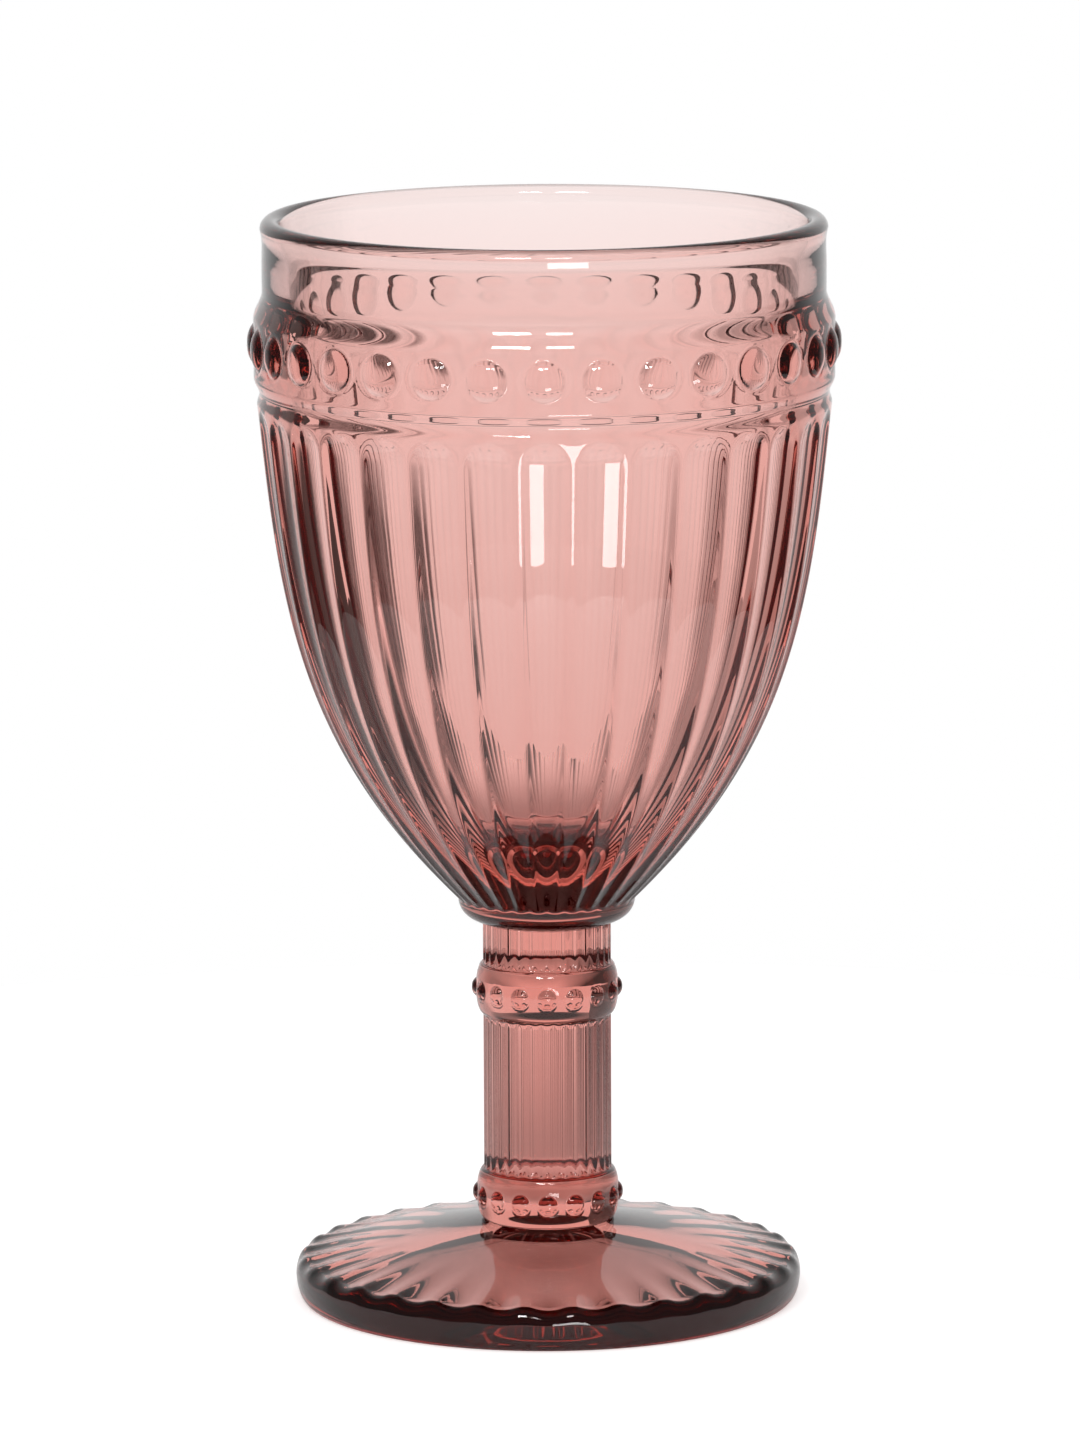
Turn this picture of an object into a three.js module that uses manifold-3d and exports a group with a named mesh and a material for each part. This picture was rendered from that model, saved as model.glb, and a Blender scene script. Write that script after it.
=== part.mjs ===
// A footed wine glass in rose-tinted pressed glass. A fluted bowl with a beaded band stands on a
// fluted stem with two beaded collars, and the stem stands on a round foot with a scalloped edge.
// The three pieces meet at two flat joints, where the glass is fused hot.
// Millimetres, +Z up. The foot rests on z = 0, the Z axis is the glass's own axis, the front is -Y.
import * as THREE from 'three';
import { mergeVertices } from 'three/addons/utils/BufferGeometryUtils.js';
import Module from 'manifold-3d';

// Foot: a low cone with a thick rounded edge, hollowed underneath by a cone of the same slope.
const footRadius = 39.5;
const footHeight = 12.5;
const footEdgeHeight = 7;
const footLowerRound = 1.6;
const footUpperRound = 2.2;
const footRestWidth = 4.5;
const footHollowDepth = 5.6;
const footHollowCore = 9;
const footHollowCrown = 0.6;
const footFluteCount = 32;
const footFluteStart = 20;
const footFluteDepth = 0.55;

// Stem: a fluted column with one collar on the foot and one below the bowl.
const columnRadius = 10;
const stemLength = 47.5;
const neckLength = 6.8;
const collarHeight = 8;
const collarProud = 1.15;
const collarBeadCount = 16;
const collarBeadDiameter = 3;
const collarBeadProud = 0.6;
const stemFluteCount = 32;
const stemFluteDepth = 0.3;
const stemFluteRunOut = 0.7;

// Bowl, from its joint with the stem up to the lip.
const bowlHeight = 110;
const rimRadius = 43.5;
const wall = 5.1;
const floorThickness = 12;
const lipHeight = 4.6;
const lipProud = 0.25;
const lipFlat = 0.4;
const lipWall = 3;
const baseHeight = 3.5;
const baseProud = 3.8;

// The raised band under the plain collar of the bowl, and its beads.
const plainCollarHeight = 12;
const bandHeight = 15;
const bandProud = 1.35;
const bandUpperSlope = 2.8;
const bandLowerRound = 1.4;
const beadDiameter = 6.4;
const beadProud = 1;
const beadSeat = 0.8;

// The bowl's curve runs from the shoulder under the band down to the base ring. It leaves the
// shoulder with a slight taper and arrives at the base along a steep flare.
const shoulderDrop = 2;
const shoulderProud = 0.85;
const upperTaper = 3.05;
const upperReach = 30.2;
const lowerFlare = 25;
const lowerReach = 24.4;

// The inside curve starts level with the shoulder and thickens the wall down to a round bottom.
const innerTaper = 5.6;
const innerReach = 65.1;
const bottomReach = 6.25;

// The flutes pressed into that curve, one below each bead.
const fluteCount = 32;
const fluteDepth = 0.75;
const ridgeShare = 0.2;

// How finely the round forms are divided.
const columnsPerFlute = 4;
const columnsPerStemFlute = 2;
const cavityColumns = 48;
const hollowColumns = 48;
const beadColumns = 8;
const collarBeadColumns = 6;
const beadRings = 2;
const roundSteps = 2;
const coneSteps = 4;
const bowlCurveSteps = 9;
const cavityCurveSteps = 8;

// How far a cutting form reaches past the surface that it opens.
const cutOverrun = 1;

const wasm = await Module();
wasm.setup();

// A closed geometry as a solid: corners in one place are merged and collapsed facets dropped.
function solidOf(geometry) {
  geometry.deleteAttribute('normal');
  geometry.deleteAttribute('uv');
  const merged = mergeVertices(geometry);
  const corners = Array.from(merged.index.array);
  const kept = [];
  for (let k = 0; k < corners.length; k += 3) {
    const facet = corners.slice(k, k + 3);
    if (new Set(facet).size === 3) kept.push(...facet);
  }
  return new wasm.Manifold(new wasm.Mesh({
    numProp: 3,
    vertProperties: merged.attributes.position.array,
    triVerts: new Uint32Array(kept),
  }));
}

// A solid turned from an outline that runs from the axis at the bottom to the axis at the top. The
// reshape function moves each point of its surface to a new radius and height.
function turnedSolid(outline, columns, reshape = (angle, radius, height) => [radius, height]) {
  const geometry = new THREE.LatheGeometry(outline, columns);
  geometry.rotateX(Math.PI / 2);
  const points = geometry.attributes.position;
  for (let k = 0; k < points.count; k++) {
    const angle = Math.atan2(points.getX(k), -points.getY(k));
    const radius = Math.hypot(points.getX(k), points.getY(k));
    const [newRadius, newHeight] = reshape(angle, radius, points.getZ(k));
    points.setXYZ(k, newRadius * Math.sin(angle), -newRadius * Math.cos(angle), newHeight);
  }
  return solidOf(geometry);
}

// Points on an ellipse about (radius, height), from one angle to another in degrees.
function roundPoints(radius, height, reachOut, reachUp, fromDegrees, toDegrees) {
  const points = [];
  for (let k = 0; k <= roundSteps; k++) {
    const angle = THREE.MathUtils.degToRad(THREE.MathUtils.lerp(fromDegrees, toDegrees, k / roundSteps));
    points.push(new THREE.Vector2(radius + reachOut * Math.cos(angle), height + reachUp * Math.sin(angle)));
  }
  return points;
}

// Points along a curve, closer together near both of its ends.
function curvePoints(curve, steps) {
  const points = [];
  for (let k = 0; k <= steps; k++) {
    points.push(curve.getPoint((1 - Math.cos(Math.PI * k / steps)) / 2));
  }
  return points;
}

// Where an angle lies across its flute: 0 on the centre line, 1 or more on the ridge beside it.
function acrossFlute(angle, count) {
  const pitches = angle * count / (2 * Math.PI);
  return Math.abs(pitches - Math.round(pitches)) * 2 / (1 - ridgeShare);
}

// A ring of domed beads seated in a round wall, the first one at the front.
function beadRing(count, diameter, proud, columns, wallRadius, height) {
  const baseRadius = diameter / 2;
  const domeRadius = (baseRadius ** 2 + proud ** 2) / (2 * proud);
  const domeAngle = Math.asin(baseRadius / domeRadius);
  const outline = [new THREE.Vector2(0, -beadSeat), new THREE.Vector2(baseRadius, -beadSeat)];
  for (let k = 0; k <= beadRings; k++) {
    const angle = domeAngle * (1 - k / beadRings);
    const rise = domeRadius * Math.cos(angle) - domeRadius + proud;
    outline.push(new THREE.Vector2(domeRadius * Math.sin(angle), rise));
  }
  const beads = [];
  for (let k = 0; k < count; k++) {
    const bead = new THREE.LatheGeometry(outline, columns);
    bead.rotateX(Math.PI);
    bead.translate(0, -wallRadius, height);
    bead.rotateZ(2 * Math.PI * k / count);
    beads.push(solidOf(bead));
  }
  return beads;
}

// The foot, modelled on the plane it rests on.
function footSolid() {
  const edgeTop = footRadius - footUpperRound;
  const edgeShoulder = footEdgeHeight - footUpperRound;
  const cone = new THREE.LineCurve(
    new THREE.Vector2(edgeTop, footEdgeHeight),
    new THREE.Vector2(columnRadius, footHeight),
  );
  const outline = [
    new THREE.Vector2(0, 0),
    ...roundPoints(footRadius - footLowerRound, footLowerRound, footLowerRound, footLowerRound, -90, 0),
    ...roundPoints(edgeTop, edgeShoulder, footUpperRound, footUpperRound, 0, 90),
    ...cone.getPoints(coneSteps).slice(1),
    new THREE.Vector2(0, footHeight),
  ];
  // Shallow flutes deepen from the cone towards the upper edge, which they scallop.
  const scallop = (angle, radius, height) => {
    const outward = THREE.MathUtils.clamp((radius - footFluteStart) / (edgeTop - footFluteStart), 0, 1);
    const onTop = THREE.MathUtils.clamp((height - edgeShoulder) / footUpperRound, 0, 1);
    const section = Math.max(0, 1 - acrossFlute(angle, footFluteCount) ** 2);
    return [radius, height - footFluteDepth * outward ** 2 * onTop * section];
  };
  const body = turnedSolid(outline, footFluteCount * columnsPerFlute, scallop);
  const hollowRadius = footRadius - footLowerRound - footRestWidth;
  const hollow = turnedSolid([
    new THREE.Vector2(0, -cutOverrun),
    new THREE.Vector2(hollowRadius, -cutOverrun),
    new THREE.Vector2(hollowRadius, 0),
    new THREE.Vector2(footHollowCore, footHollowDepth - footHollowCrown),
    new THREE.Vector2(0, footHollowDepth),
  ], hollowColumns);
  return body.subtract(hollow);
}

// The stem, modelled on its joint with the foot.
function stemSolid() {
  const collarHalf = collarHeight / 2;
  const lowerCollar = collarHalf;
  const upperCollar = stemLength - neckLength - collarHalf;
  const outline = [new THREE.Vector2(0, 0)];
  for (const middle of [lowerCollar, upperCollar]) {
    const lower = middle - collarHalf;
    const upper = middle + collarHalf;
    if (lower > 0) outline.push(new THREE.Vector2(columnRadius, lower - stemFluteRunOut));
    outline.push(...roundPoints(columnRadius, middle, collarProud, collarHalf, -90, 0));
    outline.push(...roundPoints(columnRadius, middle, collarProud, collarHalf, 0, 90).slice(1));
    outline.push(new THREE.Vector2(columnRadius, upper + stemFluteRunOut));
  }
  outline.push(new THREE.Vector2(columnRadius, stemLength), new THREE.Vector2(0, stemLength));
  // Fine flutes on the column and the neck, which run out just short of the collars.
  const flutes = (angle, radius, height) => {
    const nearest = Math.min(Math.abs(height - lowerCollar), Math.abs(height - upperCollar));
    const runIn = THREE.MathUtils.clamp((nearest - collarHalf) / stemFluteRunOut, 0, 1);
    const section = Math.max(0, 1 - acrossFlute(angle, stemFluteCount) ** 2);
    return [Math.max(0, radius - stemFluteDepth * runIn * section * radius / columnRadius), height];
  };
  let stem = turnedSolid(outline, stemFluteCount * columnsPerStemFlute, flutes);
  for (const middle of [lowerCollar, upperCollar]) {
    const crown = columnRadius + collarProud;
    const beads = beadRing(
      collarBeadCount, collarBeadDiameter, collarBeadProud, collarBeadColumns, crown, middle,
    );
    for (const bead of beads) stem = stem.add(bead);
  }
  return stem;
}

// The bowl, modelled on its joint with the stem.
function bowlSolid() {
  const bandRadius = rimRadius + bandProud;
  const bandTop = bowlHeight - plainCollarHeight;
  const bandBottom = bandTop - bandHeight;
  const lipRadius = rimRadius + lipProud;
  const lipRound = (lipWall + lipProud - lipFlat) / 2;
  const innerRadius = rimRadius - wall;
  const shoulder = new THREE.Vector2(rimRadius + shoulderProud, bandBottom - shoulderDrop);
  const base = new THREE.Vector2(columnRadius + baseProud, baseHeight);
  const upperHandle = new THREE.Vector2(shoulder.x - upperTaper, shoulder.y - upperReach);
  const lowerHandle = new THREE.Vector2(base.x + lowerFlare, base.y + lowerReach);
  const outer = new THREE.CubicBezierCurve(base, lowerHandle, upperHandle, shoulder);
  const outline = [
    new THREE.Vector2(0, 0),
    ...roundPoints(columnRadius, baseHeight, baseProud, baseHeight, -90, 0).slice(0, -1),
    ...curvePoints(outer, bowlCurveSteps),
    new THREE.Vector2(rimRadius, bandBottom),
    ...roundPoints(bandRadius - bandLowerRound, bandBottom + bandLowerRound, bandLowerRound,
      bandLowerRound, -45, 0).slice(1),
    new THREE.Vector2(bandRadius, bandTop - bandUpperSlope),
    new THREE.Vector2(rimRadius, bandTop),
    new THREE.Vector2(rimRadius, bowlHeight - lipHeight),
    ...roundPoints(lipRadius - lipRound, bowlHeight - lipRound, lipRound, lipRound, 0, 90),
    new THREE.Vector2(0, bowlHeight),
  ];
  // Each flute is a round channel. Its upper end is an arch under the band, its lower end closes
  // the same way above the base ring, and it grows shallower with the narrowing bowl.
  const halfFlute = (radius) => radius * Math.PI / fluteCount * (1 - ridgeShare);
  const topArch = halfFlute(shoulder.x);
  const footArch = halfFlute(base.x);
  const flutes = (angle, radius, height) => {
    const intoTop = Math.max(0, (height - shoulder.y) / topArch + 1);
    const intoFoot = Math.max(0, (base.y - height) / footArch + 1);
    const across = acrossFlute(angle, fluteCount);
    const section = Math.max(0, 1 - across ** 2 - intoTop ** 2 - intoFoot ** 2);
    return [radius - fluteDepth * section * radius / shoulder.x, height];
  };
  let body = turnedSolid(outline, fluteCount * columnsPerFlute, flutes);
  const beadHeight = (bandTop + bandBottom) / 2;
  const beads = beadRing(fluteCount, beadDiameter, beadProud, beadColumns, bandRadius, beadHeight);
  for (const bead of beads) body = body.add(bead);
  // The inside is smooth: a slight cone from the thin lip to the shoulder, then a curve that closes to a
  // round bottom over a thick floor.
  const inner = new THREE.CubicBezierCurve(
    new THREE.Vector2(0, floorThickness),
    new THREE.Vector2(bottomReach, floorThickness),
    new THREE.Vector2(innerRadius - innerTaper, shoulder.y - innerReach),
    new THREE.Vector2(innerRadius, shoulder.y),
  );
  const lipMiddle = bowlHeight - lipRound;
  const mouth = rimRadius - lipWall + lipRound;
  const cavity = turnedSolid([
    ...curvePoints(inner, cavityCurveSteps),
    ...roundPoints(mouth, lipMiddle, -lipRound, lipRound, 0, 90),
    new THREE.Vector2(mouth, bowlHeight + cutOverrun),
    new THREE.Vector2(0, bowlHeight + cutOverrun),
  ], cavityColumns);
  return body.subtract(cavity);
}

// A named piece of rose glass made from a solid, standing at a height on the axis.
function glassPiece(name, solid, height, color) {
  const { vertProperties, triVerts } = solid.getMesh();
  const geometry = new THREE.BufferGeometry();
  geometry.setAttribute('position', new THREE.BufferAttribute(vertProperties, 3));
  geometry.setIndex(new THREE.BufferAttribute(triVerts, 1));
  geometry.computeVertexNormals();
  const finish = { color, roughness: 0.05, metalness: 0, transparent: true, opacity: 0.6 };
  const piece = new THREE.Mesh(geometry, new THREE.MeshStandardMaterial(finish));
  piece.name = name;
  piece.position.z = height;
  return piece;
}

const wineGlass = new THREE.Group();
wineGlass.name = 'wine_glass';
wineGlass.add(
  glassPiece('foot', footSolid(), 0, 0xb9807b),
  glassPiece('stem', stemSolid(), footHeight, 0xc08079),
  glassPiece('bowl', bowlSolid(), footHeight + stemLength, 0xd9a29b),
);

export default wineGlass;
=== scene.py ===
import math

import bpy
import numpy as np
from mathutils import Matrix


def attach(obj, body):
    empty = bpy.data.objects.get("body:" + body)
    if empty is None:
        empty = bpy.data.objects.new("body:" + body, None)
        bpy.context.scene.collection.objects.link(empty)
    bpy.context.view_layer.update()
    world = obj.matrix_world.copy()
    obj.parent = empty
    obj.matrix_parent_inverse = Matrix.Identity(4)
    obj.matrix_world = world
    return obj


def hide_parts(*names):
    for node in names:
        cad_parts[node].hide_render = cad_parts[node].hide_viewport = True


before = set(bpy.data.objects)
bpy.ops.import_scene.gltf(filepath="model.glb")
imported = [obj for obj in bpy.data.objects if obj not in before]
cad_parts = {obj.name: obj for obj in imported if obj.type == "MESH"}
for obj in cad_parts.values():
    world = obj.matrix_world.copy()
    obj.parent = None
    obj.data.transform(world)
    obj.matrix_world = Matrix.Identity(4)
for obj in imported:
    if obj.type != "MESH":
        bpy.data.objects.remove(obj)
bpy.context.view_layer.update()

# Foot: a low cone of solid glass with a thick round edge, pressed in a mould and hollowed a little
# underneath so that it stands on a ring. Shallow flutes fan out over the cone and scallop its edge.
# Sizes of the glass are in millimetres.
MM = 0.001
JOINT_MELT = 0.02
FOOT_RADIUS = 39.5
FOOT_HEIGHT = 12.5
FOOT_EDGE_HEIGHT = 7.0
FOOT_EDGE_MIDDLE = 4.0
FOOT_LOWER_ROUND = 1.6
FOOT_UPPER_ROUND = 2.2
FOOT_REST_WIDTH = 4.5
FOOT_HOLLOW_DEPTH = 5.6
FOOT_HOLLOW_CORE = 9.0
FOOT_HOLLOW_CROWN = 0.6
FOOT_CROWN_FLAT = 4.0
FOOT_CROWN_EDGE = 7.0
FOOT_CROWN_RISE = 0.4
FOOT_FLUTES = 32
FOOT_FLUTE_START = 18.0
FOOT_FLUTE_DEPTH = 0.55
FOOT_FLUTE_FADE = 4
FOOT_COLUMNS = FOOT_FLUTES * 16
STEM_RADIUS = 10.0
RIDGE_SHARE = 0.2
FLUTE_CORNER = 0.15


def straight(start, end, spacing):
    """Points of an outline along a straight run, in millimetres of (radius, height)."""
    steps = max(1, math.ceil(math.dist(start, end) / spacing))
    along = np.linspace(0, 1, steps + 1)[:, None]
    return np.array(start) + (np.array(end) - np.array(start)) * along


def rounded(centre, reach, from_degrees, to_degrees, steps):
    """Points of an outline round an ellipse, 0 degrees outward and 90 upward."""
    turn = np.radians(np.linspace(from_degrees, to_degrees, steps + 1))
    return np.column_stack((centre[0] + reach[0] * np.cos(turn), centre[1] + reach[1] * np.sin(turn)))


def swept(start, start_handle, end_handle, end, steps):
    """Points of an outline along a cubic curve."""
    t = np.linspace(0, 1, steps + 1)[:, None]
    weights = ((1 - t) ** 3, 3 * t * (1 - t) ** 2, 3 * t**2 * (1 - t), t**3)
    return sum(w * np.array(p) for w, p in zip(weights, (start, start_handle, end_handle, end)))


def turned(runs, columns):
    """Angle, radius and height of every point of the surface that a chain of runs makes round the axis."""
    points = np.vstack(runs)
    steps = np.hypot(*np.diff(points, axis=0).T)
    points = points[np.append(True, steps > 1e-6)]
    angle = np.arange(columns) * 2 * math.pi / columns
    return angle, np.repeat(points[:, :1], columns, 1), np.repeat(points[:, 1:], columns, 1)


def across_flute(angle, count, ridge_share):
    """Where an angle lies across its flute: 0 on the centre line, 1 or more on the ridge beside it."""
    pitches = angle * count / (2 * math.pi)
    return np.abs(pitches - np.round(pitches)) * 2 / (1 - ridge_share)


def above_zero(value, corner):
    """The value where it is positive and 0 elsewhere, with the corner between them rounded off."""
    return (value + np.sqrt(value**2 + corner**2)) / 2


def glass_piece(name, angle, radius, height):
    """A closed, smooth mesh through rows of points that start and end on the axis."""
    x = radius * np.sin(angle)
    y = -radius * np.cos(angle)
    rows, columns = radius.shape
    middle = np.stack((x, y, height), axis=-1)[1:-1].reshape(-1, 3)
    ends = np.array([[0, 0, height[0, 0]], [0, 0, height[-1, 0]]])
    corner = np.arange((rows - 2) * columns).reshape(rows - 2, columns)
    beside = np.roll(corner, -1, axis=1)
    sides = np.stack((corner[:-1], beside[:-1], beside[1:], corner[1:]), axis=-1).reshape(-1, 4)
    first = len(middle)
    faces = sides.tolist()
    faces += [[first, int(b), int(a)] for a, b in zip(corner[0], beside[0])]
    faces += [[first + 1, int(a), int(b)] for a, b in zip(corner[-1], beside[-1])]
    mesh = bpy.data.meshes.new(name)
    mesh.from_pydata((np.vstack((middle, ends)) * MM).tolist(), [], faces)
    mesh.shade_smooth()
    piece = bpy.data.objects.new(name, mesh)
    bpy.context.scene.collection.objects.link(piece)
    return piece


def linear(hex_colour):
    """An sRGB hex colour as linear red, green, blue and alpha."""
    parts = [int(hex_colour[k : k + 2], 16) / 255 for k in (1, 3, 5)]
    return [p / 12.92 if p <= 0.04045 else ((p + 0.055) / 1.055) ** 2.4 for p in parts] + [1.0]


def bare_tree(owner):
    """The node tree of a new material or world, emptied."""
    owner.use_nodes = True
    owner.node_tree.nodes.clear()
    return owner.node_tree


def add_node(tree, kind, settings=None, inputs=None):
    """A node with its settings, and with each input set to a value or linked to another node's output."""
    node = tree.nodes.new(kind)
    for name, value in (settings or {}).items():
        setattr(node, name, value)
    for name, value in (inputs or {}).items():
        if isinstance(value, bpy.types.NodeSocket):
            tree.links.new(value, node.inputs[name])
        else:
            node.inputs[name].default_value = value
    return node


# Soda-lime glass, pressed and fire-polished, with a dusky rose tint right through. The eye sees sharp
# refraction, a tint that deepens with thickness, and the slow ripple that a hot mould leaves.
RIPPLE_SIZE = 9.0
RIPPLE_DEPTH = 0.03
HAZE_SIZE = 2.5
HAZE_MOST = 0.03
GLASS_IOR = 1.52
TINT = "#ef8b6d"
TINT_DENSITY = 80.0
rose_glass = bpy.data.materials.new("pressed_rose_glass")
tree = bare_tree(rose_glass)
place = add_node(tree, "ShaderNodeTexCoord").outputs["Object"]
ripple = add_node(
    tree,
    "ShaderNodeTexNoise",
    {},
    {"Vector": place, "Scale": 1 / (RIPPLE_SIZE * MM), "Detail": 1.0, "Roughness": 0.4},
)
bump = add_node(
    tree,
    "ShaderNodeBump",
    {},
    {"Strength": 1.0, "Distance": RIPPLE_DEPTH * MM, "Height": ripple.outputs["Fac"]},
)
haze = add_node(
    tree,
    "ShaderNodeTexNoise",
    {},
    {"Vector": place, "Scale": 1 / (HAZE_SIZE * MM), "Detail": 3.0},
)
polish = add_node(
    tree,
    "ShaderNodeMapRange",
    {},
    {"Value": haze.outputs["Fac"], "From Min": 0.35, "From Max": 0.75, "To Min": 0.0, "To Max": HAZE_MOST},
)
surface = add_node(
    tree,
    "ShaderNodeBsdfPrincipled",
    {},
    {
        "Base Color": linear("#ffffff"),
        "Roughness": polish.outputs["Result"],
        "IOR": GLASS_IOR,
        "Transmission Weight": 1.0,
        "Normal": bump.outputs["Normal"],
    },
)
tint = add_node(tree, "ShaderNodeVolumeAbsorption", {}, {"Color": linear(TINT), "Density": TINT_DENSITY})
add_node(
    tree,
    "ShaderNodeOutputMaterial",
    {},
    {"Surface": surface.outputs["BSDF"], "Volume": tint.outputs["Volume"]},
)

edge_top = FOOT_RADIUS - FOOT_UPPER_ROUND
rest_outer = FOOT_RADIUS - FOOT_LOWER_ROUND
rest_inner = rest_outer - FOOT_REST_WIDTH
upper_reach = FOOT_EDGE_HEIGHT - FOOT_EDGE_MIDDLE
hollow_core = FOOT_HOLLOW_DEPTH - FOOT_HOLLOW_CROWN
foot_top = FOOT_HEIGHT + JOINT_MELT / 2
angle, radius, height = turned(
    [
        swept(
            (0, FOOT_HOLLOW_DEPTH),
            (FOOT_CROWN_FLAT, FOOT_HOLLOW_DEPTH),
            (FOOT_CROWN_EDGE, hollow_core + FOOT_CROWN_RISE),
            (FOOT_HOLLOW_CORE, hollow_core),
            steps=12,
        ),
        straight((FOOT_HOLLOW_CORE, hollow_core), (rest_inner, 0), spacing=0.6),
        straight((rest_inner, 0), (rest_outer, 0), spacing=0.6),
        rounded((rest_outer, FOOT_EDGE_MIDDLE), (FOOT_LOWER_ROUND, FOOT_EDGE_MIDDLE), -90, 0, steps=20),
        rounded((edge_top, FOOT_EDGE_MIDDLE), (FOOT_UPPER_ROUND, upper_reach), 0, 82, steps=20),
        straight((edge_top, FOOT_EDGE_HEIGHT), (STEM_RADIUS, foot_top), spacing=0.5),
        straight((STEM_RADIUS, foot_top), (0, foot_top), spacing=1.5),
    ],
    FOOT_COLUMNS,
)
outward = np.clip((radius - FOOT_FLUTE_START) / (edge_top - FOOT_FLUTE_START), 0, 1)
on_top = np.clip((height - FOOT_EDGE_MIDDLE) / upper_reach, 0, 1)
section = above_zero(1 - across_flute(angle, FOOT_FLUTES, RIDGE_SHARE) ** 2, FLUTE_CORNER)
height = height - FOOT_FLUTE_DEPTH * outward**FOOT_FLUTE_FADE * on_top * section
foot = glass_piece("foot_glass", angle, radius, height)
foot.data.materials.append(rose_glass)
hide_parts("foot")
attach(foot, "root")

# Stem: a solid column of the same glass, fused to the foot below and the bowl above. Fine flutes run
# down the column and the neck, and each end has a round collar set with a ring of small beads.
STEM_LENGTH = 47.5
NECK_LENGTH = 6.8
COLLAR_HEIGHT = 8.0
COLLAR_PROUD = 1.15
COLLAR_BEADS = 16
COLLAR_BEAD_DIAMETER = 3.0
COLLAR_BEAD_PROUD = 0.6
BEAD_DOME = 2.6
BEAD_CORNER = 0.05
BEAD_GROOVE_REACH = 1.08
BEAD_GROOVE_WIDTH = 0.08
BEAD_GROOVE_DEPTH = 0.09
STEM_FLUTES = 32
STEM_FLUTE_DEPTH = 0.3
STEM_FLUTE_RUN_OUT = 0.7
STEM_COLUMNS = STEM_FLUTES * 16


def beads_on(angle, radius, height, count, diameter, proud, middle):
    """How far a ring of domed beads stands out of a round wall, the first bead at the front."""
    turns = angle * count / (2 * math.pi)
    sideways = (turns - np.round(turns)) * 2 * math.pi / count * radius
    from_tip = np.hypot(sideways, height - middle) / (diameter / 2)
    dome = above_zero(1 - from_tip**BEAD_DOME, BEAD_CORNER)
    groove = np.exp(-(((from_tip - BEAD_GROOVE_REACH) / BEAD_GROOVE_WIDTH) ** 2))
    return proud * (dome - BEAD_GROOVE_DEPTH * groove)


stem_bottom = FOOT_HEIGHT - JOINT_MELT / 2
stem_top = FOOT_HEIGHT + STEM_LENGTH + JOINT_MELT / 2
collar_half = COLLAR_HEIGHT / 2
lower_collar = FOOT_HEIGHT + collar_half
upper_collar = FOOT_HEIGHT + STEM_LENGTH - NECK_LENGTH - collar_half
column_bottom = (STEM_RADIUS, lower_collar + collar_half)
column_top = (STEM_RADIUS, upper_collar - collar_half)
angle, radius, height = turned(
    [
        straight((0, stem_bottom), (STEM_RADIUS, stem_bottom), spacing=1.5),
        rounded((STEM_RADIUS, lower_collar), (COLLAR_PROUD, collar_half), -89, 90, steps=48),
        straight(column_bottom, column_top, spacing=0.4),
        rounded((STEM_RADIUS, upper_collar), (COLLAR_PROUD, collar_half), -90, 90, steps=48),
        straight((STEM_RADIUS, upper_collar + collar_half), (STEM_RADIUS, stem_top), spacing=0.4),
        straight((STEM_RADIUS, stem_top), (0, stem_top), spacing=1.5),
    ],
    STEM_COLUMNS,
)
nearest = np.minimum(np.abs(height - lower_collar), np.abs(height - upper_collar))
run_in = np.clip((nearest - collar_half) / STEM_FLUTE_RUN_OUT, 0, 1)
section = above_zero(1 - across_flute(angle, STEM_FLUTES, RIDGE_SHARE) ** 2, FLUTE_CORNER)
fluted = radius - STEM_FLUTE_DEPTH * run_in * section * radius / STEM_RADIUS
for middle in (lower_collar, upper_collar):
    beads = beads_on(angle, radius, height, COLLAR_BEADS, COLLAR_BEAD_DIAMETER, COLLAR_BEAD_PROUD, middle)
    fluted = fluted + np.where(radius >= STEM_RADIUS, beads, 0)
stem = glass_piece("stem_glass", angle, fluted, height)
stem.data.materials.append(rose_glass)
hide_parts("stem")
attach(stem, "root")

# Bowl: a deep cup pressed in one piece and fused to the stem. Round flutes run up its outside to a
# raised band with one bead over each flute, then a plain collar and a lip melted round by flame.
BOWL_BOTTOM = 60.0
BOWL_TOP = 170.0
RIM_RADIUS = 43.5
WALL = 5.1
LIP_WALL = 3.0
INNER_FLOOR = 72.0
INNER_FLOOR_FLAT = 6.25
INNER_WALL_LEAN = (5.6, 65.1)
LIP_PROUD = 0.25
LIP_NECK = 0.2
LIP_HEIGHT = 4.6
LIP_RUN_IN = 1.6
LIP_EASE = (0.05, 1.2)
BASE_HEIGHT = 3.5
BASE_PROUD = 3.8
BASE_FLARE = (25.0, 24.4)
SHOULDER_PROUD = 0.85
SHOULDER_DROP = 2.0
SHOULDER_LEAN = (3.05, 30.2)
SHOULDER_EASE = (0.1, 1.0)
BAND_TOP = 158.0
BAND_BOTTOM = 143.0
BAND_PROUD = 1.35
BAND_GROOVE = 44.0
BAND_GROOVE_EASE = 0.8
BAND_LOWER_ROUND = 2.6
BAND_LOWER_EASE = 0.9
BAND_UPPER_SLOPE = 2.8
BAND_UPPER_EASE = 0.6
BAND_MARGIN = 1.0
BEAD_DIAMETER = 6.4
BEAD_PROUD = 0.99
BOWL_FLUTES = 32
FLUTE_DEPTH = 0.75
FLUTE_RIDGE = 0.1
BOWL_FLUTE_CORNER = 0.1
BOWL_COLUMNS = BOWL_FLUTES * 24

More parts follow.
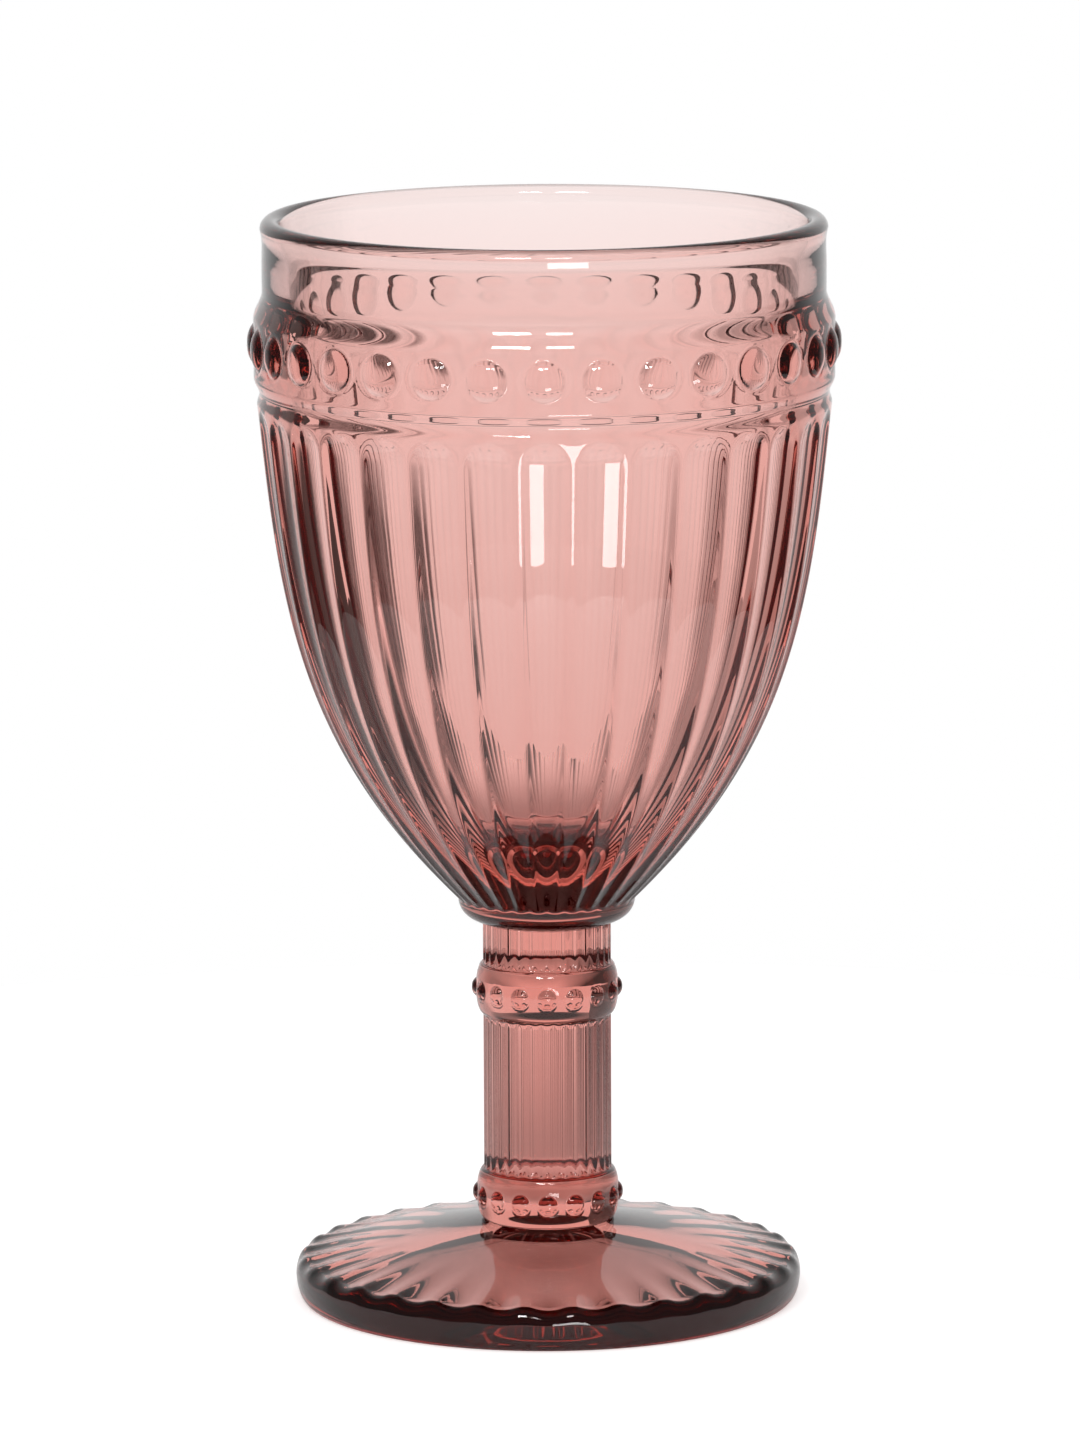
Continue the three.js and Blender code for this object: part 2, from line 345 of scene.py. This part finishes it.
bowl_bottom = BOWL_BOTTOM - JOINT_MELT / 2
base = (STEM_RADIUS + BASE_PROUD, BOWL_BOTTOM + BASE_HEIGHT)
shoulder = (RIM_RADIUS + SHOULDER_PROUD, BAND_BOTTOM - SHOULDER_DROP)
band_radius = RIM_RADIUS + BAND_PROUD
face_bottom = BAND_BOTTOM + BAND_LOWER_ROUND
slope_bottom = BAND_TOP - BAND_UPPER_SLOPE
inner_radius = RIM_RADIUS - WALL
lip_round = (LIP_WALL + LIP_PROUD) / 2
lip_inner = RIM_RADIUS - LIP_WALL
lip_middle = BOWL_TOP - lip_round
lip_start = BOWL_TOP - LIP_HEIGHT - LIP_RUN_IN
outside = [
    straight((0, bowl_bottom), (STEM_RADIUS, bowl_bottom), spacing=1.5),
    rounded((STEM_RADIUS, base[1]), (BASE_PROUD, base[1] - bowl_bottom), -89, 0, steps=14),
    swept(
        base,
        (base[0] + BASE_FLARE[0], base[1] + BASE_FLARE[1]),
        (shoulder[0] - SHOULDER_LEAN[0], shoulder[1] - SHOULDER_LEAN[1]),
        shoulder,
        steps=150,
    ),
    swept(
        shoulder,
        (shoulder[0] + SHOULDER_EASE[0], shoulder[1] + SHOULDER_EASE[1]),
        (BAND_GROOVE, BAND_BOTTOM - BAND_GROOVE_EASE),
        (BAND_GROOVE, BAND_BOTTOM),
        steps=10,
    ),
    swept(
        (BAND_GROOVE, BAND_BOTTOM),
        (BAND_GROOVE, BAND_BOTTOM + BAND_LOWER_EASE),
        (band_radius, face_bottom - BAND_LOWER_EASE),
        (band_radius, face_bottom),
        steps=12,
    ),
    straight((band_radius, face_bottom), (band_radius, slope_bottom - BAND_UPPER_EASE), spacing=0.28),
    swept(
        (band_radius, slope_bottom - BAND_UPPER_EASE),
        (band_radius, slope_bottom + BAND_UPPER_EASE),
        (RIM_RADIUS, BAND_TOP - BAND_UPPER_EASE),
        (RIM_RADIUS, BAND_TOP + BAND_UPPER_EASE),
        steps=14,
    ),
    straight((RIM_RADIUS, BAND_TOP + BAND_UPPER_EASE), (RIM_RADIUS, lip_start), spacing=0.8),
    swept(
        (RIM_RADIUS, lip_start),
        (RIM_RADIUS - LIP_EASE[0], lip_start + LIP_EASE[1]),
        (RIM_RADIUS - LIP_NECK, lip_middle - LIP_RUN_IN),
        (RIM_RADIUS + LIP_PROUD, lip_middle),
        steps=14,
    ),
]
inside = [
    rounded((lip_inner + lip_round, lip_middle), (lip_round, lip_round), 0, 180, steps=32),
    straight((lip_inner, lip_middle), (inner_radius, shoulder[1]), spacing=1.0),
    swept(
        (inner_radius, shoulder[1]),
        (inner_radius - INNER_WALL_LEAN[0], shoulder[1] - INNER_WALL_LEAN[1]),
        (INNER_FLOOR_FLAT, INNER_FLOOR),
        (0, INNER_FLOOR),
        steps=90,
    ),
]
outer_rows = len(turned(outside, 3)[1])
angle, radius, height = turned(outside + inside, BOWL_COLUMNS)
half_flute = math.pi / BOWL_FLUTES * (1 - FLUTE_RIDGE)
into_top = np.maximum(0, (height - shoulder[1]) / (shoulder[0] * half_flute) + 1)
into_foot = np.maximum(0, (base[1] - height) / (base[0] * half_flute) + 1)
across = across_flute(angle, BOWL_FLUTES, FLUTE_RIDGE)
section = above_zero(1 - across**2 - into_top**2 - into_foot**2, BOWL_FLUTE_CORNER)
relief = -FLUTE_DEPTH * section * np.sqrt(radius / shoulder[0])
relief[height > BAND_BOTTOM] = 0
bead_middle = (BAND_TOP + BAND_BOTTOM) / 2
on_band = (height > BAND_BOTTOM + BAND_MARGIN) & (height < BAND_TOP - BAND_MARGIN)
beads = beads_on(angle, radius, height, BOWL_FLUTES, BEAD_DIAMETER, BEAD_PROUD, bead_middle)
relief = relief + np.where(on_band, beads, 0)
relief[outer_rows:] = 0
bowl = glass_piece("bowl_glass", angle, radius + relief, height)
bowl.data.materials.append(rose_glass)
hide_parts("bowl")
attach(bowl, "root")

# Floor: a round pale table top under the glass, plain and matt, with the foot's soft shadow on it. It is
# white where the camera looks at it. Where it is seen through the glass it carries painted shade: grey
# close behind the glass and white further off, with a dark corner behind the glass on the left, a grey
# right side, and deep shade for rays that have turned twice in the glass.
# Sizes of the stage are in metres.
FLOOR_RADIUS = 0.26
FLOOR_GAP = 0.00005
FLOOR_SIDES = 96
FLOOR_LIFT = 0.4
DEEP_SHADE = "#383838"


def seen_deep(tree, path, colour):
    """A colour of the stage as the glass shows it, with painted shade that makes it dark to rays that have
    turned twice inside the glass.
    """
    turned_twice = add_node(
        tree,
        "ShaderNodeMath",
        {"operation": "SUBTRACT", "use_clamp": True},
        {0: path.outputs["Glossy Depth"], 1: 1.0},
    )
    shade = add_node(
        tree,
        "ShaderNodeMix",
        {"data_type": "RGBA"},
        {"Factor": turned_twice.outputs[0], "A": colour, "B": linear(DEEP_SHADE)},
    )
    return shade.outputs[2]


def stage_board(name, points, faces, paint, through_glass_only):
    """A board of the stage that shows to every ray, or only to those that come through the glass."""
    mesh = bpy.data.meshes.new(name)
    mesh.from_pydata(points, [], faces)
    board = bpy.data.objects.new(name, mesh)
    bpy.context.scene.collection.objects.link(board)
    board.data.materials.append(paint)
    if through_glass_only:
        board.visible_camera = False
        board.visible_diffuse = False
        board.visible_glossy = False
        board.visible_shadow = False


floor_paint = bpy.data.materials.new("matt_floor_with_painted_shade")
tree = bare_tree(floor_paint)
path = add_node(tree, "ShaderNodeLightPath")
place = add_node(tree, "ShaderNodeTexCoord").outputs["Object"]
axes = add_node(tree, "ShaderNodeSeparateXYZ", {}, {0: place})
reach = add_node(tree, "ShaderNodeVectorMath", {"operation": "LENGTH"}, {0: place})
far = add_node(
    tree, "ShaderNodeMapRange", {}, {"Value": reach.outputs["Value"], "From Min": 0.12, "From Max": 0.25}
)
# Painted shade: grey close behind the glass, fading to white further off.
painted_floor_shade = add_node(
    tree,
    "ShaderNodeMix",
    {"data_type": "RGBA"},
    {"Factor": far.outputs[0], "A": linear("#c0c0c0"), "B": linear("#ffffff")},
)
# Painted shade: a dark corner behind the glass on the left.
left = add_node(
    tree, "ShaderNodeMapRange", {}, {"Value": axes.outputs["X"], "From Min": -0.02, "From Max": -0.09}
)
behind = add_node(
    tree, "ShaderNodeMapRange", {}, {"Value": axes.outputs["Y"], "From Min": 0.01, "From Max": 0.05}
)
corner = add_node(
    tree, "ShaderNodeMath", {"operation": "MULTIPLY"}, {0: left.outputs[0], 1: behind.outputs[0]}
)
painted_floor_shade = add_node(
    tree,
    "ShaderNodeMix",
    {"data_type": "RGBA"},
    {"Factor": corner.outputs[0], "A": painted_floor_shade.outputs[2], "B": linear("#484848")},
)
# Painted shade: a lighter grey on the right side.
right = add_node(
    tree, "ShaderNodeMapRange", {}, {"Value": axes.outputs["X"], "From Min": 0.05, "From Max": 0.11}
)
painted_floor_shade = add_node(
    tree,
    "ShaderNodeMix",
    {"data_type": "RGBA"},
    {"Factor": right.outputs[0], "A": painted_floor_shade.outputs[2], "B": linear("#a8a8a8")},
)
away = add_node(
    tree, "ShaderNodeMapRange", {}, {"Value": reach.outputs["Value"], "From Min": 0.042, "From Max": 0.075}
)
through = add_node(
    tree,
    "ShaderNodeMix",
    {"data_type": "RGBA"},
    {"Factor": away.outputs[0], "A": linear("#fcfcfc"), "B": painted_floor_shade.outputs[2]},
)
# Painted shade: dark to rays that have turned twice inside the glass.
deep = seen_deep(tree, path, through.outputs[2])
board = add_node(
    tree,
    "ShaderNodeMix",
    {"data_type": "RGBA"},
    {"Factor": path.outputs["Is Transmission Ray"], "A": linear("#dcdcdc"), "B": deep},
)
matt = add_node(tree, "ShaderNodeBsdfDiffuse", {}, {"Color": board.outputs[2]})
lift = add_node(
    tree, "ShaderNodeMath", {"operation": "MULTIPLY"}, {0: path.outputs["Is Camera Ray"], 1: FLOOR_LIFT}
)
glow = add_node(tree, "ShaderNodeEmission", {}, {"Color": linear("#ffffff"), "Strength": lift.outputs[0]})
both = add_node(tree, "ShaderNodeAddShader", {}, {0: matt.outputs[0], 1: glow.outputs[0]})
add_node(tree, "ShaderNodeOutputMaterial", {}, {"Surface": both.outputs[0]})
floor_turn = np.arange(FLOOR_SIDES) * 2 * math.pi / FLOOR_SIDES
floor_edge = [(FLOOR_RADIUS * math.cos(a), FLOOR_RADIUS * math.sin(a), -FLOOR_GAP) for a in floor_turn]
stage_board("floor", floor_edge, [list(range(FLOOR_SIDES))], floor_paint, through_glass_only=False)

# Flags: two upright cards close behind the glass that glow with painted shade, a dark one on the left and a
# pale grey one on the right, both near white higher up, with a gap between them. Seen only through the
# glass, they draw the streaks of the outer flutes.
FLAG_DISTANCE = 0.085
FLAG_HALF = 0.22
FLAG_TOP = 0.20
flag_paint = bpy.data.materials.new("glowing_card_of_painted_shade")
tree = bare_tree(flag_paint)
place = add_node(tree, "ShaderNodeTexCoord").outputs["Object"]
axes = add_node(tree, "ShaderNodeSeparateXYZ", {}, {0: place})
half_gap = add_node(
    tree,
    "ShaderNodeMapRange",
    {},
    {"Value": axes.outputs["Z"], "From Min": 0.055, "From Max": 0.075, "To Min": 0.070, "To Max": 0.039},
)
sideways = add_node(
    tree, "ShaderNodeMath", {"operation": "DIVIDE"}, {0: axes.outputs["X"], 1: half_gap.outputs[0]}
)
raised = add_node(
    tree, "ShaderNodeMapRange", {}, {"Value": axes.outputs["Z"], "From Min": 0.10, "From Max": 0.12}
)
# Painted shade: dark grey low on the left, near white higher up.
left = add_node(
    tree,
    "ShaderNodeMix",
    {"data_type": "RGBA"},
    {"Factor": raised.outputs[0], "A": linear("#505050"), "B": linear("#f0f0f0")},
)
# Painted shade: light grey low on the right, near white higher up.
right = add_node(
    tree,
    "ShaderNodeMix",
    {"data_type": "RGBA"},
    {"Factor": raised.outputs[0], "A": linear("#c8c8c8"), "B": linear("#f0f0f0")},
)
side = add_node(tree, "ShaderNodeMath", {"operation": "GREATER_THAN"}, {0: axes.outputs["X"], 1: 0.0})
card = add_node(
    tree,
    "ShaderNodeMix",
    {"data_type": "RGBA"},
    {"Factor": side.outputs[0], "A": left.outputs[2], "B": right.outputs[2]},
)
left_edge = add_node(
    tree, "ShaderNodeMapRange", {}, {"Value": sideways.outputs[0], "From Min": -0.85, "From Max": -1.25}
)
right_edge = add_node(
    tree, "ShaderNodeMapRange", {}, {"Value": sideways.outputs[0], "From Min": 1.0, "From Max": 1.6}
)
covered = add_node(
    tree, "ShaderNodeMath", {"operation": "MAXIMUM"}, {0: left_edge.outputs[0], 1: right_edge.outputs[0]}
)
glow = add_node(tree, "ShaderNodeEmission", {}, {"Color": card.outputs[2], "Strength": 1.0})
clear = add_node(tree, "ShaderNodeBsdfTransparent", {}, {"Color": linear("#ffffff")})
both = add_node(
    tree, "ShaderNodeMixShader", {}, {0: covered.outputs[0], 1: clear.outputs[0], 2: glow.outputs[0]}
)
add_node(tree, "ShaderNodeOutputMaterial", {}, {"Surface": both.outputs[0]})
flag_corners = [(-FLAG_HALF, 0.0), (FLAG_HALF, 0.0), (FLAG_HALF, FLAG_TOP), (-FLAG_HALF, FLAG_TOP)]
flag_points = [(x, FLAG_DISTANCE, z) for x, z in flag_corners]
stage_board("flags", flag_points, [[0, 1, 2, 3]], flag_paint, through_glass_only=True)

# Screens: low upright boards round the table that glow, white all round, with a grey one of painted shade
# in front of them behind the glass on its left. They are seen only through the glass, and carry painted
# deep shade for rays that have turned twice in it.
SCREEN_STEPS = 59
for name, colour, distance, top, start, end in (
    ("white_board", "#ffffff", 0.30, 0.105, 0, 360),
    # Painted shade: the grey board behind the glass on the left.
    ("grey_board_of_painted_shade", "#606060", 0.29, 0.12, -60, -27),
):
    screen_paint = bpy.data.materials.new(name)
    tree = bare_tree(screen_paint)
    path = add_node(tree, "ShaderNodeLightPath")
    deep = seen_deep(tree, path, linear(colour))
    glow = add_node(tree, "ShaderNodeEmission", {}, {"Color": deep, "Strength": 1.0})
    add_node(tree, "ShaderNodeOutputMaterial", {}, {"Surface": glow.outputs[0]})
    points = []
    for a in np.radians(np.linspace(start, end, SCREEN_STEPS + 1)):
        points += [(distance * math.sin(a), distance * math.cos(a), z) for z in (0.0, top)]
    faces = [[k, k + 2, k + 3, k + 1] for k in range(0, 2 * SCREEN_STEPS, 2)]
    stage_board(name, points, faces, screen_paint, through_glass_only=True)

# Room: white all round up to a dark ceiling. The ceiling is seen only through the glass. In reflections
# the wall behind the glass is white and the room in front of it a plain grey.
world = bpy.data.worlds.new("white_room")
bpy.context.scene.world = world
tree = bare_tree(world)
path = add_node(tree, "ShaderNodeLightPath")
towards = add_node(tree, "ShaderNodeTexCoord").outputs["Generated"]
axes = add_node(tree, "ShaderNodeSeparateXYZ", {}, {0: towards})
rise = add_node(tree, "ShaderNodeMath", {"operation": "ARCSINE"}, {0: axes.outputs["Z"]})
degrees = add_node(tree, "ShaderNodeMath", {"operation": "DEGREES"}, {0: rise.outputs[0]})
overhead = add_node(
    tree, "ShaderNodeMapRange", {}, {"Value": degrees.outputs[0], "From Min": 8.0, "From Max": 13.0}
)
ceiling = add_node(
    tree,
    "ShaderNodeMix",
    {"data_type": "RGBA"},
    {"Factor": overhead.outputs[0], "A": linear("#ffffff"), "B": linear(DEEP_SHADE)},
)
deep = seen_deep(tree, path, ceiling.outputs[2])
behind = add_node(
    tree, "ShaderNodeMapRange", {}, {"Value": axes.outputs["Y"], "From Min": 0.4, "From Max": 0.95}
)
walls = add_node(
    tree,
    "ShaderNodeMix",
    {"data_type": "RGBA"},
    {"Factor": behind.outputs[0], "A": linear("#686868"), "B": linear("#f4f4f4")},
)
shine = add_node(
    tree,
    "ShaderNodeMix",
    {"data_type": "RGBA"},
    {"Factor": path.outputs["Is Reflection Ray"], "A": deep, "B": walls.outputs[2]},
)
plain = add_node(
    tree,
    "ShaderNodeMath",
    {"operation": "MAXIMUM"},
    {0: path.outputs["Is Camera Ray"], 1: path.outputs["Diffuse Depth"]},
)
seen = add_node(
    tree,
    "ShaderNodeMix",
    {"data_type": "RGBA"},
    {"Factor": plain.outputs[0], "A": shine.outputs[2], "B": linear("#ffffff")},
)
sky = add_node(tree, "ShaderNodeBackground", {}, {"Color": seen.outputs[2], "Strength": 1.0})
add_node(tree, "ShaderNodeOutputWorld", {}, {"Surface": sky.outputs[0]})

# Lamps: a high two-pane window in front of the glass and a low strip under it. They make the
# highlights on the lip, the band, the beads and the foot's edge, and the strips in the flutes.


def add_lamp(name, size, place, aim, watts):
    """A rectangular lamp that shows only in reflections."""
    lamp = bpy.data.lights.new(name, "AREA")
    lamp.shape = "RECTANGLE"
    lamp.size, lamp.size_y = size
    lamp.energy = watts
    holder = bpy.data.objects.new(name, lamp)
    bpy.context.scene.collection.objects.link(holder)
    away = np.array(place) - np.array(aim)
    turn = Matrix.Rotation(math.atan2(away[0], -away[1]), 4, "Z")
    tilt = Matrix.Rotation(math.atan2(math.hypot(away[0], away[1]), away[2]), 4, "X")
    holder.location = place
    holder.rotation_euler = (turn @ tilt).to_euler()
    holder.visible_camera = False
    holder.visible_transmission = False


add_lamp("window_left", size=(0.20, 0.10), place=(-0.17, -0.7, 0.60), aim=(0, 0, 0.1), watts=2.0)
add_lamp("window_right", size=(0.14, 0.10), place=(0.08, -0.7, 0.60), aim=(0, 0, 0.1), watts=0.8)
add_lamp("low_strip", size=(0.085, 0.05), place=(0.05, -0.30, 0.027), aim=(0, 0, 0.13), watts=0.13)

# Camera: a long lens a good arm's length away, looking down on the glass at about ten degrees.
FOCAL_PIXELS = 9338.8
IMAGE_HEIGHT = 1440
SENSOR = 36.0
CAMERA_PLACE = (0.0, -1.42753, 0.34316)
CAMERA_TURN = 0.037
CAMERA_DOWN = 10.005
CAMERA_ROLL = -0.25
lens = bpy.data.cameras.new("camera")
lens.sensor_width = SENSOR
lens.lens = SENSOR * FOCAL_PIXELS / IMAGE_HEIGHT
lens.clip_start = 0.05
lens.clip_end = 50.0
camera = bpy.data.objects.new("camera", lens)
bpy.context.scene.collection.objects.link(camera)
camera.matrix_world = (
    Matrix.Translation(CAMERA_PLACE)
    @ Matrix.Rotation(math.radians(CAMERA_TURN), 4, "Z")
    @ Matrix.Rotation(math.radians(90 - CAMERA_DOWN), 4, "X")
    @ Matrix.Rotation(math.radians(CAMERA_ROLL), 4, "Z")
)
bpy.context.scene.camera = camera

scene = bpy.context.scene
scene.view_settings.view_transform = "Standard"
scene.cycles.max_bounces = 32
scene.cycles.transmission_bounces = 32
scene.cycles.glossy_bounces = 16
